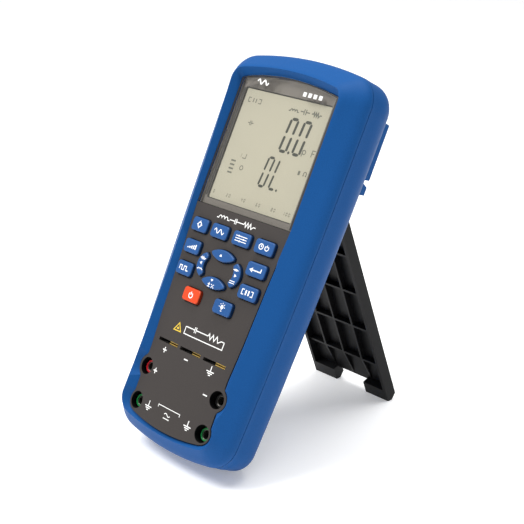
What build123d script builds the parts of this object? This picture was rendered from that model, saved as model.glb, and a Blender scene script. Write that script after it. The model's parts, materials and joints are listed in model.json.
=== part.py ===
from build123d import *
import math
import os

# Handheld LCR meter, leaning back on its opened tilt stand.
# The meter is drawn in its own flat frame and stood up at the end:
#   X to the right, Y up the length of the meter, Z out of its front panel.
# Z = 0 is the crown of the slightly convex front panel. Millimetres and degrees.

# ---- Stance ----
LEAN = 28.0
STAND_ANGLE = 48.6

# ---- Housing ----
HALF_WIDTH_TOP = 43.7
HALF_WIDTH_MIDDLE = 42.6
HALF_WIDTH_BOTTOM = 37.5
MIDDLE_Y = 15.0
BODY_TOP = 95.3
BODY_BOTTOM = -94.2
TOP_ARC_RADIUS = 200.0
BOTTOM_ARC_RADIUS = 150.0
CORNER_TOP = 13.5
CORNER_BOTTOM = 13.5
CORNER_EASE = 0.8
PARTING_Z = -9.6
GASKET = 0.3
REAR_Z = -32.0
WALL = 2.4
SIDE_ROUND = 15.5
BOTTOM_ROUND = 9.0
TOP_ROUND = 12.0
# Bevel of the front shell: how far in from the widest outline, and at what height.
BEVEL = [(0.0, PARTING_Z), (0.1, -8.2), (0.6, -6.8), (1.75, -5.0), (3.6, -3.0), (5.6, -1.0), (7.4, 0.9),
         (8.6, 1.9), (10.2, 2.4)]
BEVEL_HOLLOW = 6
# The bevel widens along the waist and narrows at the foot, per millimetre drawn in.
WAIST_GAIN = 0.35
FOOT_LOSS = 0.28

# ---- Front panel and window ----
PANEL_RADIUS = 288.0
PANEL_BACK = -3.35
PANEL_TOP = 83.7
PANEL_SIDE = 31.4
PANEL_TOP_CORNER_Y = 80.4
PANEL_BOTTOM = -86.3
PANEL_BOTTOM_CORNER_Y = -83.2
PANEL_GAP = 0.25
WINDOW_SPLIT_Y = 18.1
LEDGE = 0.9
LEDGE_DEPTH = 2.0
POCKET_WALL = 1.6
PANEL_WAIST = 26.8
FUNNEL_BASE = -1.7
FUNNEL_MOUTH = 2.6
FUNNEL_SPREAD = 3.0
LOW_FUNNEL_SPREAD = 4.5
LOW_FUNNEL_TOP = 4.0
BAY_RADIUS = 5.6
GUARD_BAY_RADIUS = 5.2

# ---- Display ----
LENS_BACK = -3.2
VISIBLE_X = 27.3
VISIBLE_BOTTOM = 21.6
VISIBLE_TOP = 75.7
LCD_TOP_Z = -4.0
LCD_THICK = 1.3

# ---- Board ----
PCB_TOP = -6.6
PCB_THICK = 1.6
PCB_INSET = 7.0

# ---- Keys ----
KEY_LENGTH = 11.4
KEY_HEIGHT = 6.6
KEY_CORNER = 1.6
KEY_PROUD = 1.7
KEY_GAP = 0.3
KEY_TRAVEL = 0.8
KEY_FLANGE_TOP = PANEL_BACK - 0.08
KEY_FLANGE_THICK = 0.95
KEY_FLANGE_SPREAD = 0.5
INNER_COLUMN = 7.35
OUTER_COLUMN = 21.6
ROW_TOP = 7.8
ROW_PITCH = 10.66
LOWER_ROW = -23.8
LOWER_COLUMN = 10.6
PAD_Y = -8.6

# ---- Test slots and jacks ----
SLOT_Y = -47.95
SLOT_PITCH = 15.91
SLOT_LENGTH = 14.0
SLOT_WIDTH = 1.6
JACK_HOLE = 4.07
JACK_WELL_WALL = 0.85
PLUG_RADIUS = 2.0
PLUG_DEPTH = 15.8
SOCKET_TOP = -4.2
JACKS = {"plus": (-24.5, -62.2), "minus": (24.5, -62.2), "guard_left": (-23.0, -78.5),
         "guard_right": (23.0, -78.5)}

# ---- Tilt stand ----
PIVOT_Y = 39.6
PIVOT_Z = -29.5
PIN_RADIUS = 1.5
PIN_CLEARANCE = 0.06
STAND_HALF = 25.6
STAND_OUTER = 3.7
STAND_INNER = -2.3
STAND_PLATE = 1.8
STAND_WALL = 1.8
NOTCH_HALF = 10.35
NOTCH_U = 118.0
RECESS_HALF = 26.2
RECESS_FLOOR = -27.0
RECESS_TOP = 44.0
RECESS_BOTTOM = -86.0

# ---- Battery bay ----
BATTERY = (25.4, 46.4, 15.8)
BATTERY_BOTTOM_Y = -37.5
BATTERY_REAR_Z = -25.2
BAY_HALF = 13.1
DOOR_HALF = 16.0
DOOR_BOTTOM = -41.0
DOOR_TOP = 27.0
DOOR_THICK = 1.6

# ---- Screws ----
CASE_SCREWS = [(33.0, 82.0), (-33.0, 82.0), (31.8, -50.0), (-31.8, -50.0)]
PCB_SCREWS = [(33.7, 45.0), (-33.7, 45.0), (31.9, -26.0), (-31.9, -26.0)]

BIG = 400.0


def sag(radius, half_chord):
    return radius - math.sqrt(radius * radius - half_chord * half_chord)


def rounded(radius, depth):
    """Inset of a quarter round at a given depth below the plane where it starts."""
    depth = max(0.0, depth)
    return radius - math.sqrt(max(0.0, radius * radius - depth * depth))


def plan(side, top, bottom, z, bevel=0.0):
    """Outline of the housing, drawn in by the given insets, as a face at height z."""
    x_top = HALF_WIDTH_TOP - side
    x_middle = HALF_WIDTH_MIDDLE - side - WAIST_GAIN * bevel
    x_bottom = HALF_WIDTH_BOTTOM - side + FOOT_LOSS * bevel
    y_top = BODY_TOP - top
    y_bottom = BODY_BOTTOM + bottom
    y_top_corner = y_top - sag(TOP_ARC_RADIUS, x_top)
    y_bottom_corner = y_bottom + sag(BOTTOM_ARC_RADIUS, x_bottom)
    edges = [
        ThreePointArc((-x_top, y_top_corner), (0, y_top), (x_top, y_top_corner)),
        ThreePointArc((x_top, y_top_corner), (x_middle, MIDDLE_Y), (x_bottom, y_bottom_corner)),
        ThreePointArc((x_bottom, y_bottom_corner), (0, y_bottom), (-x_bottom, y_bottom_corner)),
        ThreePointArc((-x_bottom, y_bottom_corner), (-x_middle, MIDDLE_Y), (-x_top, y_top_corner)),
    ]
    face = Sketch() + make_face(edges)
    inset = (side + max(top, bottom)) / 2
    by_height = face.vertices().sort_by(Axis.Y)
    face = fillet(by_height[2:], max(4.0, CORNER_TOP - CORNER_EASE * inset))
    lower = face.vertices().sort_by(Axis.Y)[:2]
    face = fillet(lower, max(4.0, CORNER_BOTTOM - CORNER_EASE * inset))
    return Pos(0, 0, z) * face


def slab(face, low, high):
    """A flat face pulled into a solid between two heights."""
    return extrude(Pos(0, 0, low) * face, amount=high - low)


def block(x0, x1, y0, y1, z0, z1):
    return Pos((x0 + x1) / 2, (y0 + y1) / 2, (z0 + z1) / 2) * Box(x1 - x0, y1 - y0, z1 - z0)


def rod(x, y, radius, z0, z1):
    return Pos(x, y, (z0 + z1) / 2) * Cylinder(radius, z1 - z0)


def tube(x, y, outer, inner, z0, z1):
    return rod(x, y, outer, z0, z1) - rod(x, y, inner, z0 - 1, z1 + 1)


def crown(lift):
    """The convex panel surface as a big cylinder along Y, lifted by a height."""
    radius = PANEL_RADIUS + lift
    return Pos(0, 0, -PANEL_RADIUS) * Rot(90, 0, 0) * Cylinder(radius, BIG)


# ---- Outlines of the front panel ----

def panel_smooth():
    """Panel outline without the bays around the jacks."""
    corner_y = PANEL_TOP_CORNER_Y
    right = [(PANEL_SIDE, corner_y), (PANEL_SIDE, WINDOW_SPLIT_Y), (29.4, -9.0), (28.1, -36.0),
             (PANEL_WAIST, -52.5), (PANEL_WAIST, PANEL_BOTTOM_CORNER_Y)]
    left = [(-x, y) for x, y in reversed(right)]
    edges = [ThreePointArc(left[-1], (0, PANEL_TOP), right[0])]
    edges += [Line(a, b) for a, b in zip(right, right[1:])]
    edges.append(ThreePointArc(right[-1], (0, PANEL_BOTTOM), left[0]))
    edges += [Line(a, b) for a, b in zip(left, left[1:])]
    face = Sketch() + make_face(edges)
    ordered = face.vertices().sort_by(Axis.Y)
    face = fillet(ordered[:2], 5.0)
    ordered = face.vertices().sort_by(Axis.Y)
    return fillet(ordered[-2:], 2.2)


def bay_radius(name):
    return GUARD_BAY_RADIUS if name.startswith("guard") else BAY_RADIUS


def panel_outline():
    face = panel_smooth()
    for name, (x, y) in JACKS.items():
        face = face + Pos(x, y) * Circle(bay_radius(name))
    waists = [v for v in face.vertices() if abs(abs(v.X) - PANEL_WAIST) < 0.1 and -78 < v.Y < -54]
    return fillet(waists, 2.6)


# ---- Housing ----

def housing_outer_front():
    return loft([plan(d, d, d, z, d) for d, z in BEVEL])


def funnels():
    """Slopes from the housing's crest down to the panel: steep by the window, shallow by the keys."""
    height = FUNNEL_MOUTH - FUNNEL_BASE
    smooth = panel_smooth()
    low = smooth & Rectangle(BIG, BIG, align=(Align.CENTER, Align.MAX)).moved(Pos(0, LOW_FUNNEL_TOP))
    cuts = []
    for face, spread in ((smooth, FUNNEL_SPREAD), (low, LOW_FUNNEL_SPREAD)):
        mouth = Pos(0, 0, FUNNEL_MOUTH) * offset(face, spread, kind=Kind.ARC)
        cuts.append(loft([Pos(0, 0, FUNNEL_BASE) * face, mouth], ruled=True))
    for name, (x, y) in JACKS.items():
        radius = bay_radius(name)
        cone = Cone(radius, radius + LOW_FUNNEL_SPREAD, height)
        cuts.append(Pos(x, y, FUNNEL_BASE + height / 2) * cone)
    return cuts


def rear_sections(extra):
    """Sections of the rear shell from the parting plane to its back, drawn in by a wall."""
    start = PARTING_Z - GASKET
    heights = [start, -14.0, -17.5, -20.5, -23.5, -26.0, -28.2, -30.0, -31.3, REAR_Z]
    faces = []
    for z in heights:
        side = rounded(SIDE_ROUND, -(z - (REAR_Z + SIDE_ROUND)))
        bottom = rounded(BOTTOM_ROUND, -(z - (REAR_Z + BOTTOM_ROUND)))
        top = rounded(TOP_ROUND, -(z - (REAR_Z + TOP_ROUND)))
        if z == REAR_Z:
            side, bottom, top = SIDE_ROUND * 0.8, BOTTOM_ROUND * 0.8, TOP_ROUND * 0.8
        faces.append(plan(side + extra, top + extra, bottom + extra, z))
    return faces


def front_shell():
    outline = panel_outline()
    solid = housing_outer_front()
    solid -= slab(outline, PANEL_BACK, 10)
    for cut in funnels():
        solid -= cut
    ledge_hole = offset(outline, -LEDGE)
    solid -= slab(ledge_hole, -20, PANEL_BACK + 1)
    for x, y in JACKS.values():
        solid -= rod(x, y, JACK_HOLE + JACK_WELL_WALL + 0.15, -20, PANEL_BACK + 1)
    cavity = loft([plan(d + WALL, d + WALL, d + WALL, z, d) for d, z in BEVEL[:BEVEL_HOLLOW]])
    keep = slab(offset(outline, POCKET_WALL, kind=Kind.ARC), PANEL_BACK - LEDGE_DEPTH, 10)
    solid -= cavity - keep
    for x, y in PCB_SCREWS:
        solid += rod(x, y, 2.5, PCB_TOP, -3.4)
        solid -= rod(x, y, 0.9, PCB_TOP - 1, -4.4)
    for x, y in CASE_SCREWS:
        solid += rod(x, y, 3.3, PARTING_Z, -3.6)
        solid -= rod(x, y, 1.4, PARTING_Z - 1, -5.0)
    return solid


def case_gasket():
    ring = plan(0.45, 0.45, 0.45, 0) - plan(WALL - 0.1, WALL - 0.1, WALL - 0.1, 0)
    return slab(ring, PARTING_Z - GASKET, PARTING_Z)


def probe_rib(x0, x1, y0, y1):
    """A rib standing off the back, its ends sloped at 45 degrees."""
    top = REAR_Z - 4.2
    base = REAR_Z + 4.0
    lean = 1.6
    profile = Plane.YZ * make_face(Polyline(
        (y0 - lean, base), (y0, top), (y1 - 1.0, top), (y1, top + 2.5), (y1, base), close=True))
    return Pos(x0, 0, 0) * extrude(profile, amount=x1 - x0)


def rear_shell():
    outer = loft(rear_sections(0.0))
    for side in (-1, 1):
        for x0, x1 in ((31.6, 34.2), (20.6, 22.8)):
            low, high = sorted((side * x0, side * x1))
            outer += probe_rib(low, high, 52.5, 80.0)
            outer += probe_rib(low, high, 43.0 + 2.4, 50.2)
    inner = loft(rear_sections(WALL)[:-1])
    inner -= block(-RECESS_HALF - WALL, RECESS_HALF + WALL, RECESS_BOTTOM - WALL, RECESS_TOP + WALL, -60,
                   RECESS_FLOOR + WALL)
    inner = inner & block(-60, 60, -120, 120, REAR_Z + WALL, 0)
    solid = outer - inner
    solid -= block(-RECESS_HALF, RECESS_HALF, RECESS_BOTTOM, RECESS_TOP, -60, RECESS_FLOOR)
    floor_in = RECESS_FLOOR + WALL
    # Battery bay: a tray that hangs over the opening, closed towards the board.
    bay_low = BATTERY_BOTTOM_Y - 0.6
    bay_high = 20.0
    tray = block(-BAY_HALF - 1.5, BAY_HALF + 1.5, bay_low - 1.5, bay_high + 1.5, floor_in - 0.5,
                 PCB_TOP - PCB_THICK - 0.3)
    tray -= block(-BAY_HALF, BAY_HALF, bay_low, bay_high, -60, PCB_TOP - PCB_THICK - 1.0)
    solid += tray
    solid -= block(-BAY_HALF, BAY_HALF, bay_low, bay_high, -60, PCB_TOP - PCB_THICK - 1.0)
    solid -= block(-DOOR_HALF - 0.2, DOOR_HALF + 0.2, DOOR_BOTTOM - 0.2, DOOR_TOP + 0.2, -60,
                   RECESS_FLOOR + DOOR_THICK)
    solid -= block(-9.6, 9.6, bay_high - 4.4, bay_high - 2.8, -20, 0)
    for x in (-8.0, 8.0):
        solid -= block(x - 2.2, x + 2.2, DOOR_BOTTOM - 2.2, DOOR_BOTTOM + 2, RECESS_FLOOR + DOOR_THICK - 0.2,
                       RECESS_FLOOR + DOOR_THICK + 1.15)
    solid += rod(0, 24.2, 3.2, RECESS_FLOOR + DOOR_THICK, -14.0)
    solid -= rod(0, 24.2, 1.25, -60, -16.0)
    # Hinge sockets for the stand's two pins.
    pin_hole = Cylinder(PIN_RADIUS + PIN_CLEARANCE, 2 * RECESS_HALF + 5.6)
    pin_hole = Pos(0, PIVOT_Y, PIVOT_Z) * Rot(0, 90, 0) * pin_hole
    for side in (-1, 1):
        x0, x1 = sorted((side * RECESS_HALF, side * (RECESS_HALF + 4.2)))
        solid += block(x0, x1, PIVOT_Y - 3.6, PIVOT_Y + 3.6, -31.2, RECESS_FLOOR + WALL)
    solid -= pin_hole
    half_wall = loft(rear_sections(WALL / 2))
    for x, y in CASE_SCREWS:
        solid += rod(x, y, 4.2, -60, PARTING_Z - GASKET) & half_wall
    for x, y in CASE_SCREWS:
        solid -= rod(x, y, 1.6, -60, 0)
        solid -= rod(x, y, 2.95, -60, -20.0)
    return solid


# ---- Front parts ----

def key_face(name):
    if name == "key_up":
        return lens_face(0.7, -4.9, -1.9)
    if name == "key_down":
        return mirror_down(lens_face(0.7, -4.9, -1.9))
    if name == "key_left":
        return bean_face(-1)
    if name == "key_right":
        return bean_face(1)
    x, y = KEYS[name]
    return Pos(x, y) * RectangleRounded(KEY_LENGTH, KEY_HEIGHT, KEY_CORNER)


def lens_face(top, bottom, tip_y):
    tip = 8.3
    face = Sketch() + make_face([ThreePointArc((-tip, tip_y), (0, top), (tip, tip_y)),
                                 ThreePointArc((tip, tip_y), (0, bottom), (-tip, tip_y))])
    return fillet(face.vertices(), 0.9)


def mirror_down(face):
    return Pos(0, 2 * PAD_Y) * mirror(face, Plane.XZ)


def bean_face(side):
    outer = ThreePointArc((side * 10.1, PAD_Y + 5.8), (side * 14.4, PAD_Y), (side * 10.1, PAD_Y - 5.8))
    inner = ThreePointArc((side * 8.0, PAD_Y - 3.9), (side * 9.7, PAD_Y), (side * 8.0, PAD_Y + 3.9))
    ends = [Line(outer @ 1, inner @ 0), Line(inner @ 1, outer @ 0)]
    face = Sketch() + make_face([outer, ends[0], inner, ends[1]])
    return fillet(face.vertices(), 1.0)


KEYS = {
    "key_calibrate": (-OUTER_COLUMN, ROW_TOP),
    "key_function": (-INNER_COLUMN, ROW_TOP),
    "key_setup": (INNER_COLUMN, ROW_TOP),
    "key_auto_off": (OUTER_COLUMN, ROW_TOP),
    "key_sorting": (-OUTER_COLUMN, ROW_TOP - ROW_PITCH),
    "key_enter": (OUTER_COLUMN, ROW_TOP - ROW_PITCH),
    "key_frequency": (-OUTER_COLUMN, ROW_TOP - 2 * ROW_PITCH),
    "key_hold": (OUTER_COLUMN, ROW_TOP - 2 * ROW_PITCH),
    "key_up": (0.0, PAD_Y + 6.6),
    "key_left": (-11.6, PAD_Y),
    "key_right": (11.6, PAD_Y),
    "key_down": (0.0, PAD_Y - 6.6),
    "key_power": (-LOWER_COLUMN, LOWER_ROW),
    "key_backlight": (LOWER_COLUMN, LOWER_ROW),
}


def key(name):
    face = key_face(name)
    x, y = KEYS[name]
    cap = slab(face, KEY_FLANGE_TOP - 0.2, 4.0) & crown(KEY_PROUD)
    cap = Solid(cap.solid().wrapped)
    top_edges = cap.faces().sort_by(Axis.Z)[-1].edges()
    cap = fillet(top_edges, 0.75)
    flange_face = offset(face, KEY_FLANGE_SPREAD, kind=Kind.ARC)
    flange = slab(flange_face, KEY_FLANGE_TOP - KEY_FLANGE_THICK, KEY_FLANGE_TOP)
    plunger = rod(x, y, 1.5, KEY_FLANGE_TOP - KEY_FLANGE_THICK - 0.4, KEY_FLANGE_TOP - 0.2)
    return cap + flange + plunger


def keypad_mat():
    pad_top = KEY_FLANGE_TOP - KEY_FLANGE_THICK - 0.4 - KEY_TRAVEL - 0.03
    mat = block(-29.0, 29.0, -29.5, 13.2, PCB_TOP, PCB_TOP + 0.4)
    for x, y in KEYS.values():
        mat += rod(x, y, 2.4, PCB_TOP, pad_top)
    return mat


def front_panel():
    outline = offset(panel_outline(), -PANEL_GAP)
    face = outline & Rectangle(BIG, BIG, align=(Align.CENTER, Align.MAX)).moved(Pos(0, WINDOW_SPLIT_Y - 0.1))
    solid = slab(face, PANEL_BACK, 5) & crown(0)
    for x, y in JACKS.values():
        solid += rod(x, y, JACK_HOLE + JACK_WELL_WALL, PCB_TOP + 0.1, PANEL_BACK)
        solid -= rod(x, y, JACK_HOLE, -20, 5)
    for name in KEYS:
        solid -= slab(offset(key_face(name), KEY_GAP, kind=Kind.ARC), -20, 5)
    for index in (-1, 0, 1):
        x = index * SLOT_PITCH
        slot = Pos(x, SLOT_Y) * RectangleRounded(SLOT_LENGTH, SLOT_WIDTH, 0.3)
        solid -= slab(slot, -20, 5)
    return solid


def window_face(grow):
    outline = offset(panel_outline(), -PANEL_GAP)
    return outline & Rectangle(BIG, BIG, align=(Align.CENTER, Align.MIN)).moved(Pos(0, WINDOW_SPLIT_Y + grow))


def display_lens():
    return slab(window_face(0.1), LENS_BACK, 5) & crown(0)


def visible_face(grow):
    centre = (VISIBLE_TOP + VISIBLE_BOTTOM) / 2
    height = VISIBLE_TOP - VISIBLE_BOTTOM
    return Pos(0, centre) * RectangleRounded(2 * (VISIBLE_X + grow), height + 2 * grow, 0.8)


def lens_border_film():
    return slab(window_face(0.1) - visible_face(0.5), PANEL_BACK, LENS_BACK)


def lcd_frame():
    top = PANEL_BACK - 0.15
    solid = block(-29.3, 29.3, 19.2, 78.9, PCB_TOP, top)
    solid = fillet(solid.edges().filter_by(Axis.Z), 1.0)
    solid -= slab(visible_face(0), -20, 5)
    solid -= block(-28.5, 28.5, 20.3, 77.3, PCB_TOP - 1, LCD_TOP_Z)
    opening = solid.faces().sort_by(Axis.Z)[-1].inner_wires()[0].edges()
    return chamfer(opening, 0.4)


def lcd_glass():
    return block(-28.3, 28.3, 20.5, 77.1, LCD_TOP_Z - LCD_THICK, LCD_TOP_Z)


def lcd_backlight():
    return block(-28.3, 28.3, 23.4, 77.1, PCB_TOP, LCD_TOP_Z - LCD_THICK)


def zebra_strip():
    return block(-27.5, 27.5, 20.7, 23.0, PCB_TOP, LCD_TOP_Z - LCD_THICK)


# ---- Board and what stands on it ----

def main_pcb():
    face = plan(PCB_INSET, PCB_INSET, PCB_INSET, 0)
    board = slab(face, PCB_TOP - PCB_THICK, PCB_TOP)
    board -= block(-25.3, 25.3, SLOT_Y - 4.9, SLOT_Y + 4.9, -20, 5)
    for x, y in JACKS.values():
        board -= rod(x, y, PLUG_RADIUS + 0.3, -20, 5)
    for x, y in CASE_SCREWS:
        board -= rod(x, y, 4.0, -20, 5)
    for x, y in PCB_SCREWS:
        board -= rod(x, y, 1.0, -20, 5)
    return board


PCB_BACK = PCB_TOP - PCB_THICK


def processor_chip():
    body = block(-7, 7, 44, 58, PCB_BACK - 1.6, PCB_BACK - 0.2)
    body = chamfer(body.edges().filter_by(Axis.Z), 0.6)
    for index in range(12):
        place = -6.05 + index * 1.1
        body += block(place - 0.2, place + 0.2, 42.9, 59.1, PCB_BACK - 0.9, PCB_BACK)
        body += block(-8.1, 8.1, 51 + place - 0.2, 51 + place + 0.2, PCB_BACK - 0.9, PCB_BACK)
    return body


def analog_chip():
    body = block(15.0, 20.0, 26.0, 36.0, PCB_BACK - 1.7, PCB_BACK - 0.2)
    for index in range(7):
        place = 27.1 + index * 1.3
        body += block(13.9, 21.1, place - 0.2, place + 0.2, PCB_BACK - 1.0, PCB_BACK)
    return body


def crystal():
    return slab(Pos(-16, 38) * SlotOverall(10.5, 4.4), PCB_BACK - 3.4, PCB_BACK)


def buzzer():
    can = rod(20.0, 64.0, 6.0, PCB_BACK - 7.0, PCB_BACK)
    can = fillet(can.faces().sort_by(Axis.Z)[0].edges(), 0.6)
    return can - rod(20.0, 64.0, 1.2, PCB_BACK - 8, PCB_BACK - 4.5)


def capacitors():
    group = []
    for x, y in ((-20.0, 62.0), (-20.0, 52.5)):
        can = rod(x, y, 3.15, PCB_BACK - 8.0, PCB_BACK)
        group.append(fillet(can.faces().sort_by(Axis.Z)[0].edges(), 0.4).solid())
    return Compound(group)


# ---- Test slots and jacks ----

def slot_block():
    solid = block(-25.0, 25.0, SLOT_Y - 4.6, SLOT_Y + 4.6, -15.0, PANEL_BACK - 0.05)
    for index in (-1, 0, 1):
        x = index * SLOT_PITCH
        solid -= block(x - 7.0, x + 7.0, SLOT_Y - 1.9, SLOT_Y + 1.9, -13.6, 0)
        solid += block(x - 7.0, x - 0.2, SLOT_Y - 1.9, SLOT_Y - 0.35, -13.6, PANEL_BACK - 0.05)
        solid += block(x - 7.0, x - 0.2, SLOT_Y + 0.35, SLOT_Y + 1.9, -13.6, PANEL_BACK - 0.05)
    return solid


def leaf(x0, side):
    """One bent leaf spring: it leans in to grip a lead, then flares out again."""
    thick = 0.35
    inner = [(1.45, -13.4), (0.12, -5.6), (0.32, -1.5)]
    outer = [(y + thick, z) for y, z in reversed(inner)]
    points = [(SLOT_Y + side * y, z) for y, z in inner + outer]
    profile = Plane.YZ * make_face(Polyline(*points, close=True))
    return (Pos(x0, 0, 0) * extrude(profile, amount=6.4)).solid()


def slot_contacts(index):
    x0 = index * SLOT_PITCH + 0.2
    return Compound([leaf(x0, 1), leaf(x0, -1)])


def jack_sleeve(x, y):
    flange = tube(x, y, JACK_HOLE - 0.1, PLUG_RADIUS + 0.3, PCB_TOP, PCB_TOP + 0.8)
    neck = tube(x, y, 2.95, PLUG_RADIUS + 0.3, PCB_TOP, -3.6)
    return flange + neck


def jack_socket(x, y):
    end = SOCKET_TOP - PLUG_DEPTH
    solid = rod(x, y, PLUG_RADIUS + 0.3, end - 1.2, SOCKET_TOP)
    solid += rod(x, y, 3.6, PCB_BACK - 1.0, PCB_BACK)
    return solid - rod(x, y, PLUG_RADIUS, end, 5)


# ---- Power ----

def battery():
    width, length, depth = BATTERY
    low = BATTERY_BOTTOM_Y
    body = block(-width / 2, width / 2, low, low + length, BATTERY_REAR_Z, BATTERY_REAR_Z + depth)
    body = fillet(body.edges().filter_by(Axis.Y), 2.2)
    middle = BATTERY_REAR_Z + depth / 2
    for x, radius in ((-6.3, 2.8), (6.3, 3.8)):
        body += Pos(x, low + length + 1.0, middle) * Rot(90, 0, 0) * Cylinder(radius, 2.0)
    return body


def battery_snap():
    width, length, depth = BATTERY
    low = BATTERY_BOTTOM_Y + length + 2.1
    middle = BATTERY_REAR_Z + depth / 2
    plate = block(-12.4, 12.4, low, low + 1.8, BATTERY_REAR_Z + 0.8, BATTERY_REAR_Z + depth - 0.4)
    for x, radius in ((-6.3, 2.95), (6.3, 3.95)):
        ring = Cylinder(radius + 0.7, 1.6) - Cylinder(radius, 3)
        plate += Pos(x, low - 0.7, middle) * Rot(90, 0, 0) * ring
    return plate


def battery_contacts():
    """Two spring strips from the snap plate through the bay's roof to the board."""
    low = BATTERY_BOTTOM_Y + BATTERY[1] + 2.1 + 1.8
    strips = []
    for x in (-6.3, 6.3):
        upright = block(x - 1.5, x + 1.5, low, low + 0.4, -21.5, -11.0)
        shelf = block(x - 1.5, x + 1.5, low, 16.6, -11.4, -11.0)
        riser = block(x - 1.5, x + 1.5, 16.2, 16.6, -11.4, PCB_BACK)
        strips.append((upright + shelf + riser).solid())
    return Compound(strips)


def battery_door():
    low, high = RECESS_FLOOR, RECESS_FLOOR + DOOR_THICK - 0.1
    door = block(-DOOR_HALF, DOOR_HALF, DOOR_BOTTOM, DOOR_TOP, low, high)
    door = fillet(door.edges().filter_by(Axis.Z), 1.2)
    for index in range(5):
        y = 12.0 + index * 1.7
        door -= block(-6.0, 6.0, y - 0.4, y + 0.4, low - 1, low + 0.5)
    for x in (-8.0, 8.0):
        door += block(x - 2.0, x + 2.0, DOOR_BOTTOM - 2.0, DOOR_BOTTOM + 1.5, high - 0.01, high + 1.0)
    door -= rod(0, 24.2, 1.6, low - 1, high + 1)
    door -= rod(0, 24.2, 2.8, low - 1, low + 0.9)
    return door


def pan_screw(x, y, head_z, head_radius, head_height, shank_radius, tip_z):
    """A screw with its head towards the back, with a cross recess."""
    head = rod(x, y, head_radius, head_z, head_z + head_height)
    head = fillet(head.faces().sort_by(Axis.Z)[0].edges(), 0.3)
    reach = head_radius * 0.55
    cross = block(x - reach, x + reach, y - 0.28, y + 0.28, head_z - 1, head_z + head_height * 0.55)
    cross += block(x - 0.28, x + 0.28, y - reach, y + reach, head_z - 1, head_z + head_height * 0.55)
    return (head + rod(x, y, shank_radius, head_z + head_height, tip_z) - cross).solid()


def battery_door_screw():
    return pan_screw(0, 24.2, RECESS_FLOOR, 2.6, 0.9, 1.25, -17.0)


def case_screws():
    return Compound([pan_screw(x, y, -21.9, 2.7, 1.9, 1.4, -5.6) for x, y in CASE_SCREWS])


def pcb_screws():
    return Compound([pan_screw(x, y, PCB_BACK - 1.2, 1.9, 1.2, 0.9, -4.8) for x, y in PCB_SCREWS])


# ---- Tilt stand, drawn folded: u runs from the pivot to the feet, v outwards ----

def stand_profile(points, x0, x1):
    """A profile of (u, v) points in the folded stand, pulled along X."""
    folded = [(PIVOT_Y - u, PIVOT_Z - v) for u, v in points]
    return Pos(x0, 0, 0) * extrude(Plane.YZ * make_face(Polyline(*folded, close=True)), amount=x1 - x0)


def sole_reach(v, floor):
    """How far along u the floor lies, at offset v, when the stand is open."""
    lean, opening = math.radians(LEAN), math.radians(STAND_ANGLE)
    along = -math.cos(opening) * math.cos(lean) - math.sin(opening) * math.sin(lean)
    across = math.sin(opening) * math.cos(lean) - math.cos(opening) * math.sin(lean)
    pivot = PIVOT_Y * math.cos(lean) + PIVOT_Z * math.sin(lean)
    return (floor - pivot - v * across) / along


def tilt_stand(floor):
    plate_in = STAND_OUTER - STAND_PLATE
    solid = stand_profile([(0, plate_in), (-2.3, plate_in), (-2.3, STAND_OUTER - 0.6), (-1.7, STAND_OUTER),
                           (NOTCH_U, STAND_OUTER), (NOTCH_U, plate_in)], -STAND_HALF, STAND_HALF)
    heel, toe = 0.3, STAND_INNER
    foot = [(NOTCH_U - 1.6, STAND_OUTER), (sole_reach(heel, floor) - 2.2, STAND_OUTER),
            (sole_reach(heel, floor), heel), (sole_reach(toe, floor), toe), (NOTCH_U - 1.6, toe)]
    rail = [(0, STAND_INNER), (NOTCH_U, STAND_INNER), (NOTCH_U, plate_in), (0, plate_in)]
    cheek = Pos(0, PIVOT_Y, PIVOT_Z) * Rot(0, 90, 0) * Cylinder(-STAND_INNER, STAND_WALL)
    pin = Pos(0, PIVOT_Y, PIVOT_Z) * Rot(0, 90, 0) * Cylinder(PIN_RADIUS, 2.9)
    for side in (-1, 1):
        inner_x, outer_x = sorted((side * (STAND_HALF - STAND_WALL), side * STAND_HALF))
        solid += stand_profile(rail, inner_x, outer_x)
        solid += Pos(side * (STAND_HALF - STAND_WALL / 2), 0, 0) * cheek
        solid += Pos(side * (STAND_HALF + 1.15), 0, 0) * pin
        near, far = sorted((side * NOTCH_HALF, side * STAND_HALF))
        solid += stand_profile(foot, near, far)
    for u in (10.0, 33.0, 56.0, 79.0, 101.0):
        cross = [(u - 0.6, plate_in + 0.1), (u - 0.6, -1.0), (u + 0.6, -1.0), (u + 0.6, plate_in + 0.1)]
        solid += stand_profile(cross, -STAND_HALF + 1, STAND_HALF - 1)
    long_rib = [(10.0, plate_in + 0.1), (10.0, -1.0), (101.0, -1.0), (NOTCH_U - 0.5, plate_in),
                (NOTCH_U - 0.5, 2.0)]
    for x in (-12.6, 0.0, 12.6):
        solid += stand_profile(long_rib, x - 0.6, x + 0.6)
    return solid


# ---- Assembly ----

def tidy(shape):
    """One clean solid, or a compound of the separate solids that share a node."""
    solids = shape.solids()
    return solids[0] if len(solids) == 1 else Compound(list(solids))


def stand_up(shape):
    return Rot(90 - LEAN, 0, 0) * shape


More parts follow.
